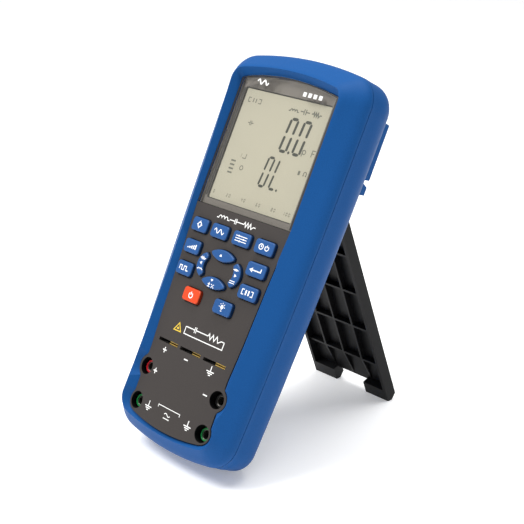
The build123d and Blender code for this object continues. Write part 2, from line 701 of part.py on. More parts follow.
def build():
    parts = {
        "front_shell": front_shell(),
        "rear_shell": rear_shell(),
        "case_gasket": case_gasket(),
        "front_panel": front_panel(),
        "display_lens": display_lens(),
        "lens_border_film": lens_border_film(),
        "lcd_frame": lcd_frame(),
        "lcd_glass": lcd_glass(),
        "lcd_backlight": lcd_backlight(),
        "zebra_strip": zebra_strip(),
        "keypad_mat": keypad_mat(),
        "main_pcb": main_pcb(),
        "processor_chip": processor_chip(),
        "analog_chip": analog_chip(),
        "crystal": crystal(),
        "buzzer": buzzer(),
        "capacitors": capacitors(),
        "slot_block": slot_block(),
        "slot_contacts_plus": slot_contacts(-1),
        "slot_contacts_minus": slot_contacts(0),
        "slot_contacts_guard": slot_contacts(1),
        "battery": battery(),
        "battery_snap": battery_snap(),
        "battery_contacts": battery_contacts(),
        "battery_door": battery_door(),
        "battery_door_screw": battery_door_screw(),
        "case_screws": case_screws(),
        "pcb_screws": pcb_screws(),
    }
    for name in KEYS:
        parts[name] = key(name)
    for name, (x, y) in JACKS.items():
        parts["jack_sleeve_" + name] = jack_sleeve(x, y)
        parts["jack_socket_" + name] = jack_socket(x, y)
    parts = {name: stand_up(tidy(shape)) for name, shape in parts.items()}
    floor = parts["rear_shell"].bounding_box().min.Z
    to_pivot = Pos(0, PIVOT_Y, PIVOT_Z)
    open_stand = to_pivot * Rot(STAND_ANGLE, 0, 0) * to_pivot.inverse() * tilt_stand(floor)
    parts["tilt_stand"] = stand_up(tidy(open_stand))
    boxes = [shape.bounding_box() for shape in parts.values()]
    front = min(box.min.Y for box in boxes)
    back = max(box.max.Y for box in boxes)
    base = min(box.min.Z for box in boxes)
    shift = Pos(0, -(front + back) / 2, -base)
    print("origin shift", round(-(front + back) / 2, 3), round(-base, 3))
    return {name: shift * shape for name, shape in parts.items()}


def main():
    os.makedirs("parts", exist_ok=True)
    for name, shape in build().items():
        export_step(shape, f"parts/{name}.step")


main()
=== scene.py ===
"""Handheld LCR meter: finishes, printed marks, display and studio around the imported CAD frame."""

import json
import math

import bmesh
import bpy
from bpy.props import FloatProperty, FloatVectorProperty, PointerProperty
from bpy.types import Operator, Panel, PropertyGroup
from mathutils import Matrix, Vector


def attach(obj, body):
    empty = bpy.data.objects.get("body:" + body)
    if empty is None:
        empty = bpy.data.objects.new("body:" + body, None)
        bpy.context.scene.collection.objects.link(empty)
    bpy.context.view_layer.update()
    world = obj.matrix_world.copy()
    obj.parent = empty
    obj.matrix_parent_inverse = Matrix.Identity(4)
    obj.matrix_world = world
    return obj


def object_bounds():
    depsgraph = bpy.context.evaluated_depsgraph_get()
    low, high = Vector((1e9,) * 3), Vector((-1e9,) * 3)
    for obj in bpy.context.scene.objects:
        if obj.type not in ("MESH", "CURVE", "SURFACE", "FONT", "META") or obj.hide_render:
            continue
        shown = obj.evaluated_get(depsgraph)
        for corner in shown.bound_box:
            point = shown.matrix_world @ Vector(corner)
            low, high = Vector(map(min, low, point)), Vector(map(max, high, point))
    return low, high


bl_info = {
    "name": "Handheld LCR Meter",
    "version": (1, 0, 0),
    "blender": (4, 5, 0),
    "location": "View3D > Sidebar > LCR Meter",
    "description": "Finishes, printed marks, display and studio for a handheld LCR meter",
    "category": "Object",
}

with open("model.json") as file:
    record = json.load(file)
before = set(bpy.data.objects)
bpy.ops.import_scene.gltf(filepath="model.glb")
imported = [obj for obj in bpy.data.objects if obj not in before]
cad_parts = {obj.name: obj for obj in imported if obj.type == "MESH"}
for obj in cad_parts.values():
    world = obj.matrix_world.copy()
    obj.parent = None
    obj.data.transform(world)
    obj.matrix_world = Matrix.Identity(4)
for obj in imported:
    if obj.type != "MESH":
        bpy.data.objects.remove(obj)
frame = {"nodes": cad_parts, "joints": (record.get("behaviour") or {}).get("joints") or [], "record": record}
cad_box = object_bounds()

MM = 0.001
METER = "meter"


# ======== The meter's flat frame: x right, y up its length, z out of the panel, in mm ========

JACK_PLACES = {"plus": (-24.5, -62.2), "minus": (24.5, -62.2), "guard_left": (-23.0, -78.5),
               "guard_right": (23.0, -78.5)}
PLUS_BORE_HEIGHT = -12.1


def upright_matrix():
    """From the flat frame in mm to the row frame in metres, read from a key's travel and a jack's bore."""
    press = next(joint for joint in frame["joints"] if joint["type"] == "slide")
    bore = next(mount for mount in frame["record"]["mounts"] if mount["name"] == "jack_plus")
    right = Vector((1.0, 0.0, 0.0))
    out = -Vector(press["axis"]).normalized()
    turn = Matrix((right, out.cross(right), out)).transposed() * MM
    origin = Vector(bore["pos_m"]) - turn @ Vector((*JACK_PLACES["plus"], PLUS_BORE_HEIGHT))
    return Matrix.Translation(origin) @ turn.to_4x4()


UPRIGHT = upright_matrix()
FLAT = UPRIGHT.inverted()


def flat_box(node):
    """Lowest and highest corner of a CAD node in the flat frame, in mm."""
    points = [FLAT @ vertex.co for vertex in frame["nodes"][node].data.vertices]
    low = Vector(min(point[axis] for point in points) for axis in range(3))
    high = Vector(max(point[axis] for point in points) for axis in range(3))
    return low, high


def flat_centre(node):
    low, high = flat_box(node)
    return (low + high) / 2


def polar(x, y, radius, degrees):
    """The point at this distance and in this direction from x, y."""
    angle = math.radians(degrees)
    return (x + radius * math.cos(angle), y + radius * math.sin(angle))


# ======== Sizes and colours ========

def colour(name, description, default):
    return FloatVectorProperty(name=name, description=description, default=default, subtype="COLOR",
                               size=3, min=0.0, max=1.0)


def length(name, description, millimetres):
    return FloatProperty(name=name, description=description, default=millimetres * MM, unit="LENGTH",
                         subtype="DISTANCE", min=0.0, precision=5)


def share(name, description, default):
    return FloatProperty(name=name, description=description, default=default, subtype="FACTOR",
                         min=0.0, max=1.0)


class MeterHousing(PropertyGroup):
    blue: colour("Blue", "Body colour of the two shells", (0.009, 0.078, 0.262))
    roughness: share("Roughness", "How matt the satin shells are", 0.46)
    grain: length("Grain size", "Size of the moulded grain", 0.45)
    grain_depth: length("Grain depth", "Height of the moulded grain", 0.012)
    # the near-black gasket is partly painted shadow: it darkens the parting line between the shells, where
    # the gap falls in shade
    gasket: colour("Gasket", "Colour of the rubber in the parting line", (0.010, 0.012, 0.018))


class MeterPanel(PropertyGroup):
    grey: colour("Panel grey", "Colour of the keypad panel", (0.051, 0.045, 0.0425))
    roughness: share("Roughness", "How matt the panel is", 0.5)
    grain: length("Texture size", "Size of the panel's fine texture", 0.22)
    grain_depth: length("Texture depth", "Height of the panel's fine texture", 0.008)
    radius: length("Crown radius", "Radius of the slightly convex panel", 288.0)
    ink: colour("White ink", "Colour of the printed marks", (0.88, 0.88, 0.86))
    yellow_ink: colour("Yellow ink", "Colour of the printed triangle", (0.75, 0.52, 0.04))
    ink_height: length("Ink height", "How far the ink stands off the surface", 0.03)
    stroke: length("Stroke", "Width of the printed lines", 0.45)


class MeterDisplay(PropertyGroup):
    face: colour("Display face", "Colour of the unlit display", (0.465, 0.42, 0.335))
    segment: colour("Segments", "Colour of a dark segment", (0.050, 0.050, 0.040))
    faint: colour("Small segments", "Colour of the thin small marks", (0.14, 0.135, 0.11))
    band: colour("Printed border", "Colour of the border behind the window", (0.185, 0.160, 0.140))
    # the window edge lines are partly the window's black edge and partly painted shadow of the gap to the
    # shell; the painted shadow line beside the display takes three times this colour
    edge: colour("Window edge", "Colour of the painted edge of the window", (0.012, 0.011, 0.010))
    surround: colour("Frame", "Colour of the frame round the display", (0.060, 0.056, 0.050))
    large_digit: length("Large digit height", "Height of the upper reading", 16.8)
    small_digit: length("Small digit height", "Height of the lower reading", 15.0)
    slant: FloatProperty(name="Slant", description="Lean of the digits to the right",
                         default=math.radians(4.5), subtype="ANGLE", unit="ROTATION")


class MeterKeys(PropertyGroup):
    blue: colour("Key blue", "Colour of the blue keys", (0.018, 0.080, 0.245))
    red: colour("Key red", "Colour of the power key", (0.66, 0.062, 0.016))
    # painted shade: the keys' sides get this share of the face colour, standing in for the shade down their
    # sides
    painted_side_shade: share("Side shade", "How dark the sides of a key are against its face", 0.30)
    ink: colour("Key ink", "Colour of the icons on the keys", (0.92, 0.93, 0.95))
    roughness: share("Roughness", "How matt the keys are", 0.38)
    proud: length("Key height", "How far the keys stand above the panel", 1.7)
    stroke: length("Stroke", "Width of the icon lines", 0.46)


class MeterFittings(PropertyGroup):
    brass: colour("Brass", "Colour of the slot contacts", (1.0, 0.70, 0.20))
    nickel: colour("Nickel", "Colour of the jack sockets", (0.30, 0.29, 0.27))
    steel: colour("Steel", "Colour of the screws", (0.45, 0.45, 0.46))
    black: colour("Black", "Colour of the black mouldings", (0.006, 0.006, 0.0065))
    red: colour("Plus ring", "Colour of the ring in the plus jack", (0.50, 0.012, 0.020))
    green: colour("Guard ring", "Colour of the rings in the guard jacks", (0.010, 0.22, 0.050))
    stand_roughness: share("Stand roughness", "How matt the tilt stand is", 0.46)
    board: colour("Board", "Colour of the circuit board", (0.010, 0.12, 0.045))


class MeterInside(PropertyGroup):
    light_guide: colour("Light guide", "Colour of the light plate", (0.8, 0.82, 0.8))
    contact_rubber: colour("Contact rubber", "Colour of the strip below the glass", (0.35, 0.20, 0.24))
    keypad_mat: colour("Keypad mat", "Colour of the mat under the keys", (0.22, 0.24, 0.26))
    chip: colour("Chips", "Colour of the chips and the buzzer", (0.018, 0.018, 0.019))
    crystal: colour("Crystal", "Colour of the crystal's can", (0.62, 0.62, 0.63))
    capacitor: colour("Capacitors", "Colour of the capacitors' sleeves", (0.02, 0.03, 0.09))
    jacket: colour("Battery jacket", "Colour of the dark part of the battery", (0.020, 0.020, 0.022))
    jacket_band: colour("Battery band", "Colour of the pale part of the battery", (0.42, 0.25, 0.09))


class MeterStudio(PropertyGroup):
    floor: colour("Floor", "Colour of the studio floor", (0.94, 0.94, 0.94))
    floor_glow: share("Floor glow", "Light that the lit floor card gives off by itself", 0.24)
    place: FloatVectorProperty(name="Camera place", description="Where the camera stands", size=3,
                               default=(0.3974, -0.37624, 0.28781), subtype="TRANSLATION", unit="LENGTH")
    azimuth: FloatProperty(name="Azimuth", description="Turn of the camera round the meter",
                           default=math.radians(46.79), subtype="ANGLE", unit="ROTATION")
    elevation: FloatProperty(name="Elevation", description="Height of the camera above the horizon",
                             default=math.radians(20.425), subtype="ANGLE", unit="ROTATION")
    lens: FloatProperty(name="Lens", description="Focal length on a 36 mm sensor", default=85.95, min=10.0,
                        unit="CAMERA")
    key_power: FloatProperty(name="Key light", description="Power of the large softbox", default=22.0,
                             min=0.0, unit="POWER")
    fill_power: FloatProperty(name="Fill light", description="Power of the fill light", default=0.3,
                              min=0.0, unit="POWER")
    top_power: FloatProperty(name="Top light", description="Power of the light above", default=13.0,
                             min=0.0, unit="POWER")
    sky: FloatProperty(name="Room light", description="Strength of the white room", default=0.50, min=0.0)


GROUPS = {
    "meter_housing": MeterHousing,
    "meter_panel": MeterPanel,
    "meter_display": MeterDisplay,
    "meter_keys": MeterKeys,
    "meter_fittings": MeterFittings,
    "meter_inside": MeterInside,
    "meter_studio": MeterStudio,
}


# ======== Shader helpers ========

class Signal:
    """A value on its way through a finish; arithmetic on it adds the Math node that does it."""

    def __init__(self, finish, socket):
        self.finish = finish
        self.socket = socket

    def maths(self, operation, *values):
        return self.finish.add("ShaderNodeMath", {"operation": operation}, dict(enumerate(values)))

    def __add__(self, other):
        return self.maths("ADD", self, other)

    __radd__ = __add__

    def __sub__(self, other):
        return self.maths("SUBTRACT", self, other)

    def __rsub__(self, other):
        return self.maths("SUBTRACT", other, self)

    def __mul__(self, other):
        return self.maths("MULTIPLY", self, other)

    __rmul__ = __mul__


class Finish:
    """A material mixed one node at a time round a Principled shader."""

    def __init__(self, name, **constants):
        self.material = bpy.data.materials.new(name)
        self.material.use_nodes = True
        tree = self.material.node_tree
        tree.nodes.clear()
        self.nodes = tree.nodes
        self.links = tree.links
        self.output = self.nodes.new("ShaderNodeOutputMaterial")
        self.shader = self.nodes.new("ShaderNodeBsdfPrincipled")
        self.links.new(self.shader.outputs[0], self.output.inputs[0])
        for socket, value in constants.items():
            self.shader.inputs[socket.replace("_", " ")].default_value = value
        self.place = self.add("ShaderNodeTexCoord", {}, {}, "Object")

    def add(self, kind, settings, sockets, result=0):
        """Adds a node: its settings first, then the values or signals of its sockets."""
        node = self.nodes.new(kind)
        for name, value in settings.items():
            if name == "stops":
                for index, (position, shade) in enumerate(value):
                    stop = node.color_ramp.elements[index]
                    stop.position = position
                    stop.color = (shade, shade, shade, 1.0)
            else:
                setattr(node, name, value)
        for name, value in sockets.items():
            self.join(node.inputs[name], value)
        return Signal(self, node.outputs[result])

    def join(self, socket, value):
        if isinstance(value, Signal):
            self.links.new(value.socket, socket)
        elif hasattr(socket.default_value, "__len__") and len(socket.default_value) == 4:
            socket.default_value = (*tuple(value)[:3], 1.0)
        else:
            socket.default_value = value

    def feed(self, **sockets):
        """Feeds what varies over the surface into the shader."""
        for name, value in sockets.items():
            self.join(self.shader.inputs[name.replace("_", " ")], value)

    def noise(self, size, detail, roughness=0.5):
        """Soft noise whose blobs are about this size, in metres."""
        return self.add("ShaderNodeTexNoise", {}, {
            "Vector": self.place, "Scale": 1.0 / size, "Detail": detail, "Roughness": roughness})

    def ramp(self, signal, *stops):
        """A shade of grey that runs between two stops, each a position and its shade."""
        return self.add("ShaderNodeValToRGB", {"stops": stops}, {"Fac": signal})

    def mix(self, factor, first, second):
        """A colour between two colours."""
        return self.add("ShaderNodeMix", {"data_type": "RGBA"}, {0: factor, 6: first, 7: second}, 2)

    def relief(self, height, depth):
        """Feeds a bump of this depth, in metres, into the shader's normal."""
        bump = self.add("ShaderNodeBump", {}, {"Strength": 1.0, "Distance": depth, "Height": height})
        self.feed(Normal=bump)


def scaled(tint, factor):
    return tuple(min(1.0, channel * factor) for channel in tint[:3])


def moulded(name, tint, roughness, grain, depth, spread=0.10, **constants):
    """Moulded plastic or rubber: a fine grain with darker pits, and slow drifts."""
    finish = Finish(name, **constants)
    drift = finish.noise(35 * MM, 3.0, 0.55)
    speck = finish.noise(grain, 3.0, 0.6)
    base = finish.mix(drift, scaled(tint, 1.0 - spread), scaled(tint, 1.0 + spread))
    pits = finish.ramp(speck, (0.36, 0.0), (0.60, 1.0))
    finish.feed(Base_Color=finish.mix(pits, scaled(tint, 0.90), base),
                Roughness=roughness - 0.05 + 0.07 * drift + 0.05 * speck)
    finish.relief(speck, depth)
    return finish


def metal(name, tint, roughness):
    """Plated or bare metal: fine drawn lines and faint tarnish."""
    fine = 0.4 * MM
    finish = Finish(name, Metallic=1.0)
    stretched = finish.add("ShaderNodeMapping", {}, {"Vector": finish.place, "Scale": (1.0, 9.0, 1.6)})
    lines = finish.add("ShaderNodeTexNoise", {}, {"Vector": stretched, "Scale": 1.0 / fine, "Detail": 3.0})
    tarnish = finish.ramp(finish.noise(4 * MM, 4.0, 0.6), (0.42, 0.0), (0.72, 1.0))
    finish.feed(Base_Color=finish.mix(tarnish, tint, scaled(tint, 0.62)),
                Roughness=roughness + 0.10 * lines + 0.10 * tarnish)
    finish.relief(lines, 0.004 * MM)
    return finish


def ink(name, tint, roughness=0.55):
    """Screen-printed ink: its cover is slightly uneven."""
    finish = Finish(name)
    cover = finish.noise(0.6 * MM, 4.0, 0.6)
    full = finish.ramp(cover, (0.30, 0.0), (0.62, 1.0))
    finish.feed(Base_Color=finish.mix(full, scaled(tint, 0.86), tint), Roughness=roughness + 0.12 * cover)
    finish.relief(cover, 0.003 * MM)
    return finish


def dress(finish, *nodes):
    """Gives CAD nodes a finish; their shapes stay as they are."""
    for node in nodes:
        mesh = frame["nodes"][node].data
        mesh.materials.clear()
        mesh.materials.append(finish.material)


def made(name, mesh, finish):
    """A new object in the scene from a bmesh, with one finish."""
    data = bpy.data.meshes.new(name)
    mesh.to_mesh(data)
    mesh.free()
    data.materials.append(finish.material)
    piece = bpy.data.objects.new(name, data)
    bpy.context.scene.collection.objects.link(piece)
    return piece


# ======== Thin printed shapes ========

class Stencil:
    """Ink shapes drawn in the flat frame in mm, each a thin closed plate, joined into one mesh."""

    STEP = 0.6  # longest stretch of a stroke, and widest slice of a filled shape
    SINK = 0.02  # how far a plate reaches into the surface
    MITRE_LIMIT = 0.45  # keeps a sharp corner short
    END_INSET = 0.002  # share of a filled shape's width left off at each end
    ARC_STEPS = 22
    NEAR = 1e-6  # closer points are the same point

    def __init__(self, surface, thickness):
        self.surface = surface
        self.thickness = thickness
        self.mesh = bmesh.new()

    def corner(self, x, y, lift):
        return self.mesh.verts.new(UPRIGHT @ Vector((x, y, self.surface(x) + lift)))

    def plate(self, rings):
        """A closed plate over a strip of cross pairs: each pair is one edge of the strip."""
        pairs = [[(self.corner(*point, self.thickness), self.corner(*point, -self.SINK)) for point in pair]
                 for pair in rings]
        closed = rings[0] == rings[-1] and len(rings) > 3
        if closed:
            pairs[-1] = pairs[0]
        for (a, b), (c, d) in zip(pairs, pairs[1:]):
            self.mesh.faces.new((a[0], b[0], d[0], c[0]))
            self.mesh.faces.new((a[1], c[1], d[1], b[1]))
            self.mesh.faces.new((a[0], c[0], c[1], a[1]))
            self.mesh.faces.new((b[0], b[1], d[1], d[0]))
        if not closed:
            for a, b in (pairs[0], reversed(pairs[-1])):
                self.mesh.faces.new((a[0], a[1], b[1], b[0]))

    def line(self, points, width):
        """A stroke of even width through the points, closed if its ends meet."""
        dense = [points[0]]
        for (x0, y0), (x1, y1) in zip(points, points[1:]):
            count = max(1, math.ceil(math.hypot(x1 - x0, y1 - y0) / self.STEP))
            dense += [(x0 + (x1 - x0) * k / count, y0 + (y1 - y0) * k / count) for k in range(1, count + 1)]
        closed = math.dist(dense[0], dense[-1]) < self.NEAR and len(dense) > 3
        rings = []
        last = len(dense) - 1
        for index, (x, y) in enumerate(dense):
            before = dense[index - 1] if index else (dense[-2] if closed else dense[0])
            after = dense[index + 1] if index < last else (dense[1] if closed else dense[-1])
            rings.append(self.cross_pair(Vector((x, y)), Vector(before), Vector(after), width / 2))
        if closed:
            rings[-1] = rings[0]
        self.plate(rings)

    def cross_pair(self, here, before, after, half):
        """The two edge points of a stroke at one of its points, mitred where it turns."""
        into, away = here - before, after - here
        into = (into if into.length > self.NEAR else away).normalized()
        away = away.normalized() if away.length > self.NEAR else into
        along = (into + away).normalized() if (into + away).length > self.NEAR else into
        reach = half / max(self.MITRE_LIMIT, along.dot(into))
        side = Vector((-along.y, along.x)) * reach
        return (tuple(here + side), tuple(here - side))

    def fill(self, points):
        """A filled convex shape, cut into thin slices across x so that it follows the crown."""
        left = min(x for x, _ in points)
        right = max(x for x, _ in points)
        count = max(2, math.ceil((right - left) / self.STEP))
        inset = (right - left) * self.END_INSET
        rings = []
        for k in range(count + 1):
            x = left + inset + (right - left - 2 * inset) * k / count
            heights = []
            for (x0, y0), (x1, y1) in zip(points, points[1:] + points[:1]):
                if min(x0, x1) <= x <= max(x0, x1) and abs(x1 - x0) > self.NEAR:
                    heights.append(y0 + (y1 - y0) * (x - x0) / (x1 - x0))
            rings.append(((x, max(heights)), (x, min(heights))))
        self.plate(rings)

    def block(self, left, low, right, high):
        """A filled rectangle."""
        self.fill([(left, low), (right, low), (right, high), (left, high)])

    def disc(self, x, y, radius, sides):
        self.fill([polar(x, y, radius, 360 * k / sides) for k in range(sides)])

    def arc(self, x, y, radius, start, end, width):
        """A round stroke from one angle to another, in degrees."""
        points = [polar(x, y, radius, start + (end - start) * k / self.ARC_STEPS)
                  for k in range(self.ARC_STEPS + 1)]
        if end - start == 360:
            points[-1] = points[0]
        self.line(points, width)

    def piece(self, name, finish, body):
        """The finished ink as an object that rides on a body."""
        bmesh.ops.recalc_face_normals(self.mesh, faces=self.mesh.faces)
        piece = made(name, self.mesh, finish)
        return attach(piece, body)


def crowned(lift):
    """Height of the convex panel surface across x, raised by a lift, in mm."""
    radius = bpy.context.scene.meter_panel.radius / MM

    def height(x):
        return math.sqrt((radius + lift) ** 2 - x * x) - radius

    return height


def level(z):
    """A flat surface at one height."""
    return lambda x: z


# ---- Seven-segment digits ----

SEGMENTS = {
    "a": ((0, 1), (1, 1)), "b": ((1, 1), (1, 0.52)), "c": ((1, 0.48), (1, 0)), "d": ((0, 0), (1, 0)),
    "e": ((0, 0.48), (0, 0)), "f": ((0, 1), (0, 0.52)), "g": ((0, 0.5), (1, 0.5)),
}
LIT = {"0": "abcdef", "1": "bc", "2": "abged", "4": "fgbc", "6": "afgedc", "8": "abcdefg", "L": "def"}


def digit(stencil, sign, x, y, width, height, stroke, slant, gap=0.14):
    """One seven-segment digit with its lower left corner at x, y."""
    half = stroke / 2
    for name in LIT[sign]:
        (u0, v0), (u1, v1) = SEGMENTS[name]
        start = Vector((half + u0 * (width - stroke), half + v0 * (height - stroke)))
        end = Vector((half + u1 * (width - stroke), half + v1 * (height - stroke)))
        along = (end - start).normalized()
        side = Vector((-along.y, along.x)) * half
        start += along * gap
        end -= along * gap
        rim = [start, start + along * half + side, end - along * half + side, end, end - along * half - side,
               start + along * half - side]
        stencil.fill([(x + point.x + point.y * math.tan(slant), y + point.y) for point in rim])


def number(stencil, text, x, y, height, stroke, slant):
    """Small digits in a row, centred on x."""
    width = height * 0.56
    pitch = width + stroke * 1.5
    first = x - (len(text) * pitch - stroke * 1.5) / 2
    for index, sign in enumerate(text):
        digit(stencil, sign, first + index * pitch, y, width, height, stroke, slant, gap=0.02)


# ---- Circuit signs, which stand where a real meter has words ----

def resistor(stencil, x, y, reach, rise, width):
    step = reach * 2 / 10
    points = [(x - reach, y), (x - reach + 1.5 * step, y)]
    points += [(x - reach + (2.0 + k) * step, y + (rise if k % 2 == 0 else -rise)) for k in range(6)]
    points += [(x + reach - 1.5 * step, y), (x + reach, y)]
    stencil.line(points, width)


def coil(stencil, x, y, reach, width):
    """Three humps, a little taller than half circles, between two leads."""
    turns, rise = 3, 1.25
    radius = reach * 0.7 / turns
    points = [(x - reach, y)]
    for turn in range(turns):
        middle = x - radius * turns + radius * (2 * turn + 1)
        for degrees in range(0, 181, 30):
            across, up = polar(0.0, 0.0, radius, degrees)
            points.append((middle - across, y + rise * up))
    points.append((x + reach, y))
    stencil.line(points, width)


def capacitor(stencil, x, y, reach, rise, width):
    gap = width * 1.05
    for side in (-1, 1):
        stencil.line([(x + side * reach, y), (x + side * gap, y)], width)
        stencil.line([(x + side * gap, y - rise), (x + side * gap, y + rise)], width)


def plus(stencil, x, y, reach, width):
    stencil.line([(x - reach, y), (x + reach, y)], width)
    stencil.line([(x, y - reach), (x, y + reach)], width)


def minus(stencil, x, y, reach, width):
    stencil.line([(x - reach, y), (x + reach, y)], width)


def ground(stencil, x, y, reach, width):
    stencil.line([(x, y + reach * 1.15), (x, y + width / 2)], width)
    for row, part in enumerate((1.0, 0.64, 0.28)):
        drop = row * width * 1.75
        stencil.line([(x - reach * part, y - drop), (x + reach * part, y - drop)], width)


def arrow(stencil, x, y, reach, turn):
    """A filled triangle that points along an angle in degrees."""
    stencil.fill([polar(x, y, reach, turn + corner) for corner in (0, 120, 240)])


def hold_sign(stencil, x, y, rise, bar, inner, outer, bar_width, width):
    """Two upright bars between square brackets."""
    low, high = y - rise, y + rise
    for side in (-1, 1):
        stencil.line([(x + side * bar, low), (x + side * bar, high)], bar_width)
        stencil.line([(x + side * inner, high), (x + side * outer, high), (x + side * outer, low),
                      (x + side * inner, low)], width)


# ---- Icons on the keys, drawn about the middle of each key, in mm ----

def icon_calibrate(stencil, x, y, width):
    stencil.arc(x, y, 1.15, 0, 360, width)
    for dx, dy in ((1, 0), (-1, 0), (0, 1), (0, -1)):
        stencil.line([(x + 0.65 * dx, y + 0.65 * dy), (x + 1.85 * dx, y + 1.85 * dy)], width)


def icon_function(stencil, x, y, width):
    reach = 3.2
    stencil.line([(x + reach * (k / 20 - 1), y + math.sin(math.pi * k / 10)) for k in range(41)], width)


def icon_setup(stencil, x, y, width):
    for row, knob in ((1.15, -1.7), (0.0, 1.6), (-1.15, -0.5)):
        stencil.line([(x - 3.6, y + row), (x + 3.6, y + row)], width * 0.8)
        stencil.disc(x + knob, y + row, 0.52, 12)


def icon_auto_off(stencil, x, y, width):
    stencil.arc(x - 1.6, y, 1.2, 0, 360, width * 0.9)
    stencil.line([(x - 1.6, y + 0.75), (x - 1.6, y), (x - 1.0, y)], width * 0.8)
    power_sign(stencil, x + 1.8, y - 0.1, 1.05, width * 0.9)


def icon_sorting(stencil, x, y, width):
    for index in range(5):
        left = x - 2.9 + index * 1.35
        stencil.block(left, y - 1.1, left + 0.8, y - 0.6 + index * 0.45)


def icon_enter(stencil, x, y, width):
    stencil.line([(x + 3.1, y + 1.2), (x + 3.1, y - 0.35), (x - 2.2, y - 0.35)], width * 1.1)
    arrow(stencil, x - 2.3, y - 0.35, 1.25, 180)


def icon_frequency(stencil, x, y, width):
    points = [(x - 3.2, y - 0.95)]
    for step in range(4):
        left = x - 3.2 + step * 1.6
        high = y + (0.95 if step % 2 == 0 else -0.95)
        points += [(left, high), (left + 1.6, high)]
    stencil.line(points, width)


def icon_hold(stencil, x, y, width):
    hold_sign(stencil, x, y, 1.15, 0.8, 2.0, 3.2, width * 1.7, width * 0.9)


def power_sign(stencil, x, y, radius, width):
    stencil.arc(x, y, radius, 125, 415, width)
    stencil.line([(x, y + 0.15), (x, y + radius * 1.35)], width)


def icon_power(stencil, x, y, width):
    power_sign(stencil, x, y - 0.15, 1.25, width)


def icon_backlight(stencil, x, y, width):
    stencil.disc(x, y + 0.35, 0.98, 18)
    stencil.fill([(x - 0.5, y - 0.3), (x + 0.5, y - 0.3), (x + 0.42, y - 1.15), (x - 0.42, y - 1.15)])
    stencil.line([(x - 0.4, y - 1.5), (x + 0.4, y - 1.5)], width * 0.7)
    for turn in (0, 45, 90, 135, 180):
        stencil.line([polar(x, y + 0.35, 1.35, turn), polar(x, y + 0.35, 1.9, turn)], width * 0.7)


def icon_up(stencil, x, y, width):
    arrow(stencil, x - 0.9, y - 0.1, 0.95, 90)


def icon_down(stencil, x, y, width):
    arrow(stencil, x - 0.9, y + 1.1, 0.95, -90)
    plus(stencil, x - 1.9, y - 0.9, 0.8, width * 0.75)
    minus(stencil, x - 1.9, y - 2.0, 0.8, width * 0.75)
    for side in (-1, 1):
        stencil.disc(x + 0.6 + side * 0.75, y - 1.4 - side * 0.6, 0.36, 10)
    stencil.line([(x - 0.1, y - 2.2), (x + 1.3, y - 0.6)], width * 0.7)


def icon_left(stencil, x, y, width):
    arrow(stencil, x - 0.1, y + 0.3, 0.95, 180)
    resistor(stencil, x + 0.3, y + 2.6, 1.9, 0.55, width * 0.75)
    coil(stencil, x + 0.3, y - 2.7, 1.9, width * 0.75)


def icon_right(stencil, x, y, width):
    arrow(stencil, x + 0.1, y + 0.2, 0.95, 0)
    stencil.line([(x - 2.0, y + 2.7), (x + 1.2, y + 2.7)], width * 0.75)
    stencil.block(x - 1.2, y + 2.25, x + 0.4, y + 3.15)
    for row in (-2.5, -3.4):
        stencil.line([(x - 2.0, y + row), (x + 1.2, y + row)], width * 0.75)


ICONS = {
    "key_calibrate": icon_calibrate, "key_function": icon_function, "key_setup": icon_setup,
    "key_auto_off": icon_auto_off, "key_sorting": icon_sorting, "key_enter": icon_enter,
    "key_frequency": icon_frequency, "key_hold": icon_hold, "key_up": icon_up, "key_left": icon_left,
    "key_right": icon_right, "key_down": icon_down, "key_power": icon_power,
    "key_backlight": icon_backlight,
}


# ======== Operators: one for each piece or group of like pieces, and one for the stage ========

class METER_OT_housing(Operator):
    """Finish the two housing shells, the battery door and the near-black gasket between the shells, whose
    dark line is partly painted shadow of the parting gap
    """
    bl_idname = "meter.housing"
    bl_label = "Housing"

    def execute(self, context):
        look = context.scene.meter_housing
        satin = moulded("satin_blue_shell", look.blue, look.roughness, look.grain, look.grain_depth, 0.05,
                        Specular_IOR_Level=0.08)
        dress(satin, "front_shell", "rear_shell", "battery_door")
        # partly painted shadow: the gasket's near-black rubber gives the dark line that the parting gap's
        # shade gives
        dress(moulded("gasket_rubber", look.gasket, 0.75, 0.3 * MM, 0.01 * MM), "case_gasket")
        return {"FINISHED"}


